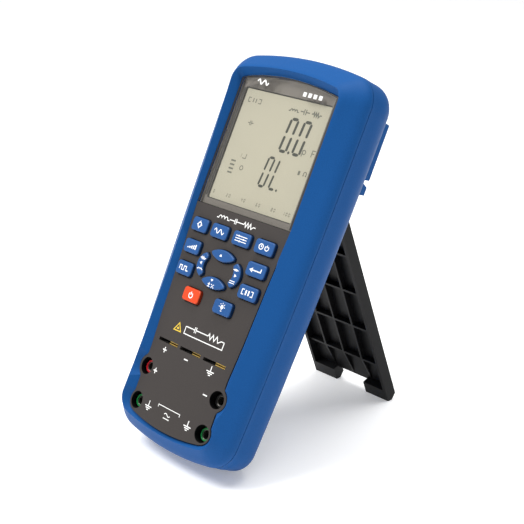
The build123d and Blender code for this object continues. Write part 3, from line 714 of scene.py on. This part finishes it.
class METER_OT_front_panel(Operator):
    """Finish the keypad panel and print its marks"""
    bl_idname = "meter.front_panel"
    bl_label = "Front Panel"

    TITLE_Y = 14.5
    DISCHARGE_LEFT, DISCHARGE_RIGHT, DISCHARGE_TOP, DISCHARGE_LOW = -8.0, 17.6, -37.9, -41.3
    TRIANGLE_X, TRIANGLE_TOP, TRIANGLE_LOW, TRIANGLE_HALF = -12.9, -37.7, -41.4, 2.5
    CORE_TOP, CORE_LOW, CORE_HALF = -39.1, -40.6, 0.85
    SIGN_REACH, GROUND_REACH = 1.3, 2.3
    SLOT_SIGN_Y, JACK_SIGN_Y, GUARD_SIGN_Y = -51.9, -62.5, -78.6

    def execute(self, context):
        look = context.scene.meter_panel
        dress(moulded("keypad_panel", look.grey, look.roughness, look.grain, look.grain_depth, 0.06,
                      Specular_IOR_Level=0.12), "front_panel")
        white = ink("panel_white_ink", look.ink)
        stroke = look.stroke / MM
        marks = Stencil(crowned(0.0), look.ink_height / MM)
        self.title(marks, stroke * 0.8)
        self.input_signs(marks, stroke * 1.25)
        marks.piece("panel_marks", white, METER)
        caution = Stencil(crowned(0.0), look.ink_height / MM)
        rim = self.triangle(self.TRIANGLE_TOP, self.TRIANGLE_LOW, self.TRIANGLE_HALF)
        caution.line(rim + rim[:1], 0.5)
        caution.fill(self.triangle(self.CORE_TOP, self.CORE_LOW, self.CORE_HALF))
        caution.piece("panel_triangle", ink("panel_yellow_ink", look.yellow_ink), METER)
        return {"FINISHED"}

    def triangle(self, top, low, half):
        return [(self.TRIANGLE_X, top), (self.TRIANGLE_X - half, low), (self.TRIANGLE_X + half, low)]

    def title(self, marks, stroke):
        """A coil, a capacitor and a resistor in a row over the keys, and a discharge path by the triangle."""
        y = self.TITLE_Y
        coil(marks, -9.5, y - 0.6, 4.4, stroke * 1.2)
        capacitor(marks, -1.0, y, 4.1, 1.25, stroke * 1.2)
        resistor(marks, 7.5, y, 4.4, 1.15, stroke * 1.2)
        top, low = self.DISCHARGE_TOP, self.DISCHARGE_LOW
        capacitor(marks, -1.4, top, 6.6, 1.35, stroke * 1.25)
        resistor(marks, 11.4, top, 6.2, 1.25, stroke * 1.25)
        marks.line([(self.DISCHARGE_LEFT, top), (self.DISCHARGE_LEFT, low), (self.DISCHARGE_RIGHT, low),
                    (self.DISCHARGE_RIGHT, top)], stroke * 1.25)

    def input_signs(self, marks, stroke):
        """The signs of the slots and jacks, and a bracket over a wave and a bar between the guards."""
        plus(marks, -16.4, self.SLOT_SIGN_Y, self.SIGN_REACH, stroke)
        minus(marks, -0.8, self.SLOT_SIGN_Y, self.SIGN_REACH, stroke)
        ground(marks, 15.6, self.SLOT_SIGN_Y - 0.2, self.GROUND_REACH, stroke * 0.85)
        plus(marks, -17.6, self.JACK_SIGN_Y, self.SIGN_REACH, stroke)
        minus(marks, 17.4, self.JACK_SIGN_Y, self.SIGN_REACH, stroke)
        for side in (-1, 1):
            ground(marks, side * 13.8, self.GUARD_SIGN_Y, self.GROUND_REACH, stroke * 0.85)
        marks.line([(-7.4, -76.6), (-7.4, -75.4), (7.4, -75.4), (7.4, -76.6)], stroke * 0.6)
        wave = [(-2.0 + 0.2 * k, -78.3 + 0.55 * math.sin(math.pi * k / 10)) for k in range(21)]
        marks.line(wave, stroke * 0.7)
        marks.line([(-2.0, -80.1), (2.0, -80.1)], stroke * 0.7)


class METER_OT_window(Operator):
    """Finish the clear window, its black edge lines that are partly printed edge and partly painted shadow, a
    painted shadow line beside the display, the border behind it and the frame round the display
    """
    bl_idname = "meter.window"
    bl_label = "Window"

    EDGE_X, EDGE_LOW, EDGE_HIGH, EDGE_CREST = 30.45, 18.6, 79.7, 83.15
    SIDE_LINE_X, SIDE_LINE_LOW, SIDE_LINE_HIGH = -28.5, 22.2, 75.4
    PRINT_HEIGHT = 0.01
    BLOCKS_LEFT, BLOCKS_LOW, BLOCK_WIDTH, BLOCK_HEIGHT, BLOCK_PITCH = 11.2, 76.9, 1.9, 2.0, 3.1

    def execute(self, context):
        look = context.scene.meter_display
        self.clear_window()
        self.edge_lines(context)
        dress(moulded("window_border_film", look.band, 0.42, 0.15 * MM, 0.004 * MM, 0.05,
                      Specular_IOR_Level=0.5), "lens_border_film")
        dress(moulded("display_frame", look.surround, 0.36, 0.3 * MM, 0.006 * MM, 0.06,
                      Specular_IOR_Level=0.5), "lcd_frame")
        return {"FINISHED"}

    def edge_lines(self, context):
        """Black lines round the window, partly its printed black edge and partly painted shadow of the gap to
        the shell; a painted shadow line beside the display, standing in for the shaded wall of its recess;
        and small marks on the band above it.
        """
        black = context.scene.meter_display.edge
        # partly painted shadow: black lines down both sides and over the top of the window, where the gap to
        # the shell falls in shade
        rim = Stencil(crowned(0.0), self.PRINT_HEIGHT)
        for x in (-self.EDGE_X, self.EDGE_X):
            rim.line([(x, self.EDGE_LOW), (x, self.EDGE_HIGH)], 1.25)
        arch = self.EDGE_CREST - self.EDGE_HIGH
        rim.line([(x, self.EDGE_CREST - arch * (x / self.EDGE_X) ** 2) for x in range(-30, 31, 2)], 0.45)
        rim.piece("window_edge_lines", ink("window_edge_ink", black, 0.4), METER)
        # painted shadow: a dark line on the border left of the display, standing in for the shaded wall of
        # the display's recess
        shade = Stencil(level(flat_box("lens_border_film")[1].z), self.PRINT_HEIGHT)
        shade.line([(self.SIDE_LINE_X, self.SIDE_LINE_LOW), (self.SIDE_LINE_X, self.SIDE_LINE_HIGH)], 1.1)
        shade.piece("window_side_line", ink("window_side_ink", scaled(black, 3.0), 0.5), METER)
        marks = Stencil(crowned(0.0), 2 * self.PRINT_HEIGHT)
        marks.line([(-19.4 + 0.32 * k, 79.2 + math.sin(math.pi * k / 6)) for k in range(25)], 0.75)
        for index in range(4):
            left = self.BLOCKS_LEFT + self.BLOCK_PITCH * index
            marks.block(left, self.BLOCKS_LOW, left + self.BLOCK_WIDTH, self.BLOCKS_LOW + self.BLOCK_HEIGHT)
        marks.piece("window_band_marks", ink("window_white_ink", context.scene.meter_panel.ink), METER)

    def clear_window(self):
        """Polished clear plastic: see-through, with a mirror film that gets stronger at a glancing view."""
        finish = Finish("clear_window", Metallic=1.0, Base_Color=(1.0, 1.0, 1.0, 1.0))
        haze = finish.noise(12 * MM, 3.0)
        finish.feed(Roughness=0.035 + 0.05 * haze)
        finish.relief(finish.noise(30 * MM, 1.0), 0.006 * MM)
        clear = finish.add("ShaderNodeBsdfTransparent", {}, {"Color": (0.97, 0.98, 0.97)})
        inside = finish.add("ShaderNodeNewGeometry", {}, {}, "Backfacing")
        gloss = finish.add("ShaderNodeFresnel", {}, {"IOR": 1.47}) * (1.0 - inside)
        both = finish.add("ShaderNodeMixShader", {}, {0: gloss, 1: clear})
        finish.links.new(finish.shader.outputs[0], both.socket.node.inputs[2])
        finish.links.new(both.socket, finish.output.inputs[0])
        dress(finish, "display_lens")


class METER_OT_display(Operator):
    """Finish the display glass and draw its digits, scale and small signs"""
    bl_idname = "meter.display"
    bl_label = "Display"

    SEGMENT_HEIGHT = 0.02
    THIN = 0.42
    SCALE = {"0": -25.4, "20": -15.5, "40": -5.4, "60": 4.5, "80": 14.4, "100": 22.9}
    SCALE_Y = 23.9
    TOP_ROW_Y = 70.8

    def execute(self, context):
        look = context.scene.meter_display
        self.glass(look)
        self.behind(context.scene.meter_inside)
        face = level(flat_box("lcd_glass")[1].z)
        dark = ink("dark_segments", look.segment, 0.35)
        reading = Stencil(face, self.SEGMENT_HEIGHT)
        self.reading(reading, look)
        reading.piece("display_digits", dark, METER)
        signs = Stencil(face, self.SEGMENT_HEIGHT)
        self.small_signs(signs, look.slant)
        signs.piece("display_signs", ink("faint_segments", look.faint, 0.35), METER)
        return {"FINISHED"}

    def glass(self, look):
        finish = Finish("display_glass", Specular_IOR_Level=0.3)
        cloud = finish.noise(20 * MM, 3.0)
        fibre = finish.noise(0.25 * MM, 2.0)
        tint = finish.mix(cloud, scaled(look.face, 0.96), scaled(look.face, 1.04))
        strand = finish.ramp(fibre, (0.35, 0.0), (0.65, 1.0))
        finish.feed(Base_Color=finish.mix(strand, scaled(look.face, 0.95), tint),
                    Roughness=0.30 + 0.08 * cloud)
        finish.relief(fibre, 0.002 * MM)
        dress(finish, "lcd_glass")

    def behind(self, look):
        """The light guide behind the glass and the contact strip below it."""
        dress(moulded("light_guide_plastic", look.light_guide, 0.3, 0.5 * MM, 0.01 * MM), "lcd_backlight")
        dress(moulded("contact_rubber", look.contact_rubber, 0.6, 0.12 * MM, 0.01 * MM), "zebra_strip")

    def reading(self, stencil, look):
        """Each reading has its signs, left edge, pitch, foot, digit size, stroke and decimal point."""
        for signs, left, pitch, foot, width, height, stroke, point in (
                ("00", 4.35, 8.35, 50.5, 5.7, look.large_digit / MM, 1.45, (11.25, 51.3, 0.75)),
                ("0L", -0.5, 6.9, 32.8, 4.8, look.small_digit / MM, 1.25, (12.1, 33.5, 0.62))):
            for index, sign in enumerate(signs):
                digit(stencil, sign, left + pitch * index, foot, width, height, stroke, look.slant)
            stencil.disc(*point, 14)

    def small_signs(self, stencil, slant):
        """The scale along the foot, the row along the top, and the signs beside the digits."""
        thin = self.THIN
        for value, x in self.SCALE.items():
            number(stencil, value, x, self.SCALE_Y, 1.9, thin, slant)
        coil(stencil, 5.6, self.TOP_ROW_Y - 0.8, 3.2, thin * 1.3)
        capacitor(stencil, 12.6, self.TOP_ROW_Y, 2.9, 1.3, thin * 1.3)
        resistor(stencil, 19.8, self.TOP_ROW_Y, 3.1, 1.15, thin * 1.3)
        hold_sign(stencil, -20.3, self.TOP_ROW_Y - 0.2, 1.0, 0.9, 2.6, 4.2, thin * 1.4, thin)
        capacitor(stencil, -17.8, 60.0, 1.8, 1.1, thin)
        for row in range(4):
            stencil.line([(-21.6, 35.4 + row * 1.9), (-18.6, 35.4 + row * 1.9)], thin * 1.9)
        number(stencil, "1", -16.8, 43.4, 2.2, thin, slant)
        stencil.line([(-15.4, 43.4), (-13.2, 43.4), (-13.2, 45.6)], thin)
        stencil.arc(-13.6, 38.8, 1.0, 0, 360, thin)
        stencil.arc(20.2, 53.3, 0.95, 0, 360, thin)
        stencil.line([(19.2, 51.2), (19.2, 54.2)], thin)
        stencil.line([(24.9, 52.0), (24.9, 55.0), (26.9, 55.0)], thin)
        stencil.line([(24.9, 53.6), (26.4, 53.6)], thin)
        stencil.block(20.9, 43.0, 22.2, 44.9)
        stencil.arc(25.2, 44.1, 0.9, -60, 240, thin)
        for side in (-1, 1):
            stencil.line([(25.2 + side * 0.45, 43.2), (25.2 + side * 1.2, 43.2)], thin)


class METER_OT_keys(Operator):
    """Finish the keys and print an icon on each"""
    bl_idname = "meter.keys"
    bl_label = "Keys"

    def execute(self, context):
        look = context.scene.meter_keys
        panel = context.scene.meter_panel
        blue = self.rubber("blue_key", look.blue, look)
        red = self.rubber("red_key", look.red, look)
        white = ink("key_white_ink", look.ink)
        top = crowned(look.proud / MM)
        for key, icon in ICONS.items():
            dress(red if key == "key_power" else blue, key)
            middle = flat_centre(key)
            stencil = Stencil(top, panel.ink_height / MM)
            icon(stencil, middle.x, middle.y, look.stroke / MM)
            stencil.piece(key.replace("key_", "icon_"), white, key)
        mat = context.scene.meter_inside.keypad_mat
        dress(moulded("keypad_mat_rubber", mat, 0.6, 0.4 * MM, 0.01 * MM), "keypad_mat")
        return {"FINISHED"}

    def rubber(self, name, tint, look):
        """Key rubber with painted shade: its base colour is darker down its sides than on its face."""
        finish = moulded(name, tint, look.roughness, 0.5 * MM, 0.006 * MM, 0.07, Specular_IOR_Level=0.22)
        out = (UPRIGHT.to_3x3() @ Vector((0.0, 0.0, 1.0))).normalized()
        normal = finish.add("ShaderNodeNewGeometry", {}, {}, "Normal")
        facing = finish.add("ShaderNodeVectorMath", {"operation": "DOT_PRODUCT"}, {0: normal, 1: out},
                            "Value")
        face_tint = finish.mix(finish.noise(1.2 * MM, 3.0), scaled(tint, 0.93), scaled(tint, 1.05))
        # painted shade: the base colour darkens where the surface turns away from the panel's outward
        # direction, down the key's sides
        face = finish.ramp(facing, (0.35, 0.0), (0.88, 1.0))
        finish.feed(Base_Color=finish.mix(face, scaled(tint, look.painted_side_shade), face_tint))
        return finish


class METER_OT_inputs(Operator):
    """Finish the test slots, their contacts and the four jacks, and line the jacks' wells with painted shade
    """
    bl_idname = "meter.inputs"
    bl_label = "Test Inputs"

    LINER_RADIUS, LINER_WALL, LINER_LOW, LINER_LIP, LINER_SIDES = 4.05, 0.08, -5.6, -0.15, 64

    def execute(self, context):
        look = context.scene.meter_fittings
        dress(moulded("slot_moulding", look.black, 0.5, 0.3 * MM, 0.008 * MM), "slot_block")
        dress(metal("slot_brass", look.brass, 0.38), "slot_contacts_plus", "slot_contacts_minus",
              "slot_contacts_guard", "battery_contacts")
        dress(metal("jack_nickel", look.nickel, 0.32), *("jack_socket_" + jack for jack in JACK_PLACES))
        gloss = {"Specular_IOR_Level": 0.5, "Coat_Weight": 0.2, "Coat_Roughness": 0.2}
        for kind, tint in (("plus", look.red), ("minus", look.black), ("guard", look.green)):
            ring = moulded(kind + "_jack_ring", tint, 0.3, 0.3 * MM, 0.004 * MM, **gloss)
            dress(ring, *("jack_sleeve_" + jack for jack in JACK_PLACES if jack.startswith(kind)))
        self.liners(look)
        return {"FINISHED"}

    def liners(self, look):
        """Thin tubes, half as bright as the black mouldings, that line the four jack wells: painted shade
        that darkens the wells.
        """
        sides = self.LINER_SIDES
        inner = self.LINER_RADIUS - self.LINER_WALL
        lip = crowned(self.LINER_LIP)
        mesh = bmesh.new()
        for x, y in JACK_PLACES.values():
            rings = []
            for radius, at_lip in ((self.LINER_RADIUS, False), (self.LINER_RADIUS, True), (inner, True),
                                   (inner, False)):
                ring = []
                for k in range(sides):
                    across, up = polar(x, y, radius, 360 * k / sides)
                    height = lip(across) if at_lip else self.LINER_LOW
                    ring.append(mesh.verts.new(UPRIGHT @ Vector((across, up, height))))
                rings.append(ring)
            for ring, following in zip(rings, rings[1:] + rings[:1]):
                for k in range(sides):
                    ahead = (k + 1) % sides
                    mesh.faces.new((ring[k], ring[ahead], following[ahead], following[k]))
        bmesh.ops.recalc_face_normals(mesh, faces=mesh.faces)
        # painted shade: the liners are half as bright as the black mouldings, darkening the wells where shade
        # falls
        matt = moulded("well_liner", scaled(look.black, 0.5), 0.6, 0.3 * MM, 0.004 * MM,
                       Specular_IOR_Level=0.1)
        piece = made("jack_well_liners", mesh, matt)
        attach(piece, METER)


class METER_OT_stand(Operator):
    """Finish the tilt stand"""
    bl_idname = "meter.stand"
    bl_label = "Tilt Stand"

    def execute(self, context):
        look = context.scene.meter_fittings
        dress(moulded("stand_moulding", look.black, look.stand_roughness, 0.6 * MM, 0.012 * MM, 0.10,
                      Specular_IOR_Level=0.14), "tilt_stand")
        return {"FINISHED"}


class METER_OT_inside(Operator):
    """Finish the board, the parts on it and the battery"""
    bl_idname = "meter.inside"
    bl_label = "Board and Battery"

    BAND_SPREAD, BAND_OFFSET = 14.0, 0.15  # turn a height in metres into a place on the ramp

    def execute(self, context):
        look = context.scene.meter_inside
        self.board(context.scene.meter_fittings)
        chip = moulded("chip_moulding", look.chip, 0.55, 0.15 * MM, 0.004 * MM)
        dress(chip, "processor_chip", "analog_chip", "buzzer", "battery_snap")
        dress(metal("crystal_can", look.crystal, 0.3), "crystal")
        dress(moulded("capacitor_sleeve", look.capacitor, 0.25, 0.8 * MM, 0.004 * MM), "capacitors")
        self.battery(look)
        return {"FINISHED"}

    def board(self, look):
        """Solder mask over a net of copper tracks."""
        finish = Finish("board_solder_mask", Specular_IOR_Level=0.5)
        cells = finish.add("ShaderNodeTexVoronoi", {"feature": "DISTANCE_TO_EDGE"},
                           {"Vector": finish.place, "Scale": 320.0})
        track = finish.ramp(cells, (0.02, 1.0), (0.06, 0.0))
        finish.feed(Base_Color=finish.mix(track, look.board, scaled(look.board, 1.9)),
                    Roughness=0.32 + 0.1 * track)
        finish.relief(track, 0.03 * MM)
        dress(finish, "main_pcb")

    def battery(self, look):
        """A jacket that is dark below and pale above."""
        finish = Finish("battery_jacket", Specular_IOR_Level=0.5)
        spread = finish.add("ShaderNodeSeparateXYZ", {}, {0: finish.place}, "Z")
        band = finish.ramp(spread * self.BAND_SPREAD - self.BAND_OFFSET, (0.48, 0.0), (0.50, 1.0))
        scuff = finish.noise(3 * MM, 3.0)
        finish.feed(Base_Color=finish.mix(band, look.jacket, look.jacket_band),
                    Roughness=0.26 + 0.16 * scuff)
        finish.relief(scuff, 0.01 * MM)
        dress(finish, "battery")


class METER_OT_screws(Operator):
    """Finish the screws"""
    bl_idname = "meter.screws"
    bl_label = "Screws"

    def execute(self, context):
        look = context.scene.meter_fittings
        dress(metal("zinc_screw", look.steel, 0.30), "case_screws", "pcb_screws", "battery_door_screw")
        return {"FINISHED"}


class METER_OT_studio(Operator):
    """Lay the pale floor, hang the soft lights and place the camera"""
    bl_idname = "meter.studio"
    bl_label = "Studio"

    FLOOR_REACH = 4.0
    SENSOR_WIDTH = 36.0
    SOFTBOXES = {  # where each hangs and how large it is, in metres
        "key": ((-0.50, -0.72, 1.35), (0.7, 0.7)),
        "fill": ((1.30, -0.55, 0.75), (0.8, 0.8)),
        "top": ((0.10, 0.35, 1.35), (1.0, 0.8)),
    }

    def execute(self, context):
        look = context.scene.meter_studio
        self.floor(look)
        self.room(context.scene, look)
        for name, (place, size) in self.SOFTBOXES.items():
            self.softbox(name + "_softbox", place, size, getattr(look, name + "_power"))
        self.camera(context.scene, look)
        return {"FINISHED"}

    def floor(self, look):
        mesh = bmesh.new()
        bmesh.ops.create_grid(mesh, x_segments=8, y_segments=8, size=self.FLOOR_REACH)
        finish = Finish("floor_card", Specular_IOR_Level=0.2, Emission_Color=(1.0, 1.0, 1.0, 1.0),
                        Emission_Strength=look.floor_glow)
        fleck = finish.noise(4 * MM, 2.0)
        finish.feed(Base_Color=finish.mix(fleck, scaled(look.floor, 0.995), look.floor),
                    Roughness=0.28 + 0.04 * fleck)
        floor = made("studio_floor", mesh, finish)

    def room(self, scene, look):
        scene.view_settings.view_transform = "Standard"
        world = bpy.data.worlds.new("studio_room")
        world.use_nodes = True
        sky = world.node_tree.nodes["Background"]
        sky.inputs["Color"].default_value = (1.0, 1.0, 1.0, 1.0)
        sky.inputs["Strength"].default_value = look.sky
        scene.world = world

    def softbox(self, name, place, size, power):
        lamp = bpy.data.lights.new(name, "AREA")
        lamp.shape = "RECTANGLE"
        lamp.size, lamp.size_y = size
        lamp.energy = power
        light = bpy.data.objects.new(name, lamp)
        light.location = place
        aim = (cad_box[0] + cad_box[1]) / 2 - Vector(place)
        light.rotation_euler = aim.to_track_quat("-Z", "Y").to_euler()
        bpy.context.scene.collection.objects.link(light)

    def camera(self, scene, look):
        data = bpy.data.cameras.new("camera")
        data.lens = look.lens
        data.sensor_width = self.SENSOR_WIDTH
        camera = bpy.data.objects.new("camera", data)
        camera.location = look.place
        camera.rotation_euler = (math.pi / 2 - look.elevation, 0.0, look.azimuth)
        scene.collection.objects.link(camera)
        scene.camera = camera


class METER_PT_sidebar(Panel):
    """Lists the meter's pieces with their sizes and colours"""
    bl_label = "LCR Meter"
    bl_idname = "METER_PT_sidebar"
    bl_space_type = "VIEW_3D"
    bl_region_type = "UI"
    bl_category = "LCR Meter"

    def draw(self, context):
        column = self.layout.column()
        for operator in OPERATORS:
            column.operator(operator.bl_idname)
        for name, group in GROUPS.items():
            box = column.box()
            for field in group.__annotations__:
                box.prop(getattr(context.scene, name), field)


OPERATORS = (METER_OT_housing, METER_OT_front_panel, METER_OT_window, METER_OT_display, METER_OT_keys,
             METER_OT_inputs, METER_OT_stand, METER_OT_inside, METER_OT_screws, METER_OT_studio)


def register():
    for name, group in GROUPS.items():
        bpy.utils.register_class(group)
        setattr(bpy.types.Scene, name, PointerProperty(type=group))
    for member in (*OPERATORS, METER_PT_sidebar):
        bpy.utils.register_class(member)


def unregister():
    for member in (METER_PT_sidebar, *reversed(OPERATORS)):
        bpy.utils.unregister_class(member)
    for name, group in reversed(GROUPS.items()):
        delattr(bpy.types.Scene, name)
        bpy.utils.unregister_class(group)


def main():
    register()
    bpy.ops.meter.housing()
    bpy.ops.meter.front_panel()
    bpy.ops.meter.window()
    bpy.ops.meter.display()
    bpy.ops.meter.keys()
    bpy.ops.meter.inputs()
    bpy.ops.meter.stand()
    bpy.ops.meter.inside()
    bpy.ops.meter.screws()
    bpy.ops.meter.studio()


if __name__ == "__main__":
    main()
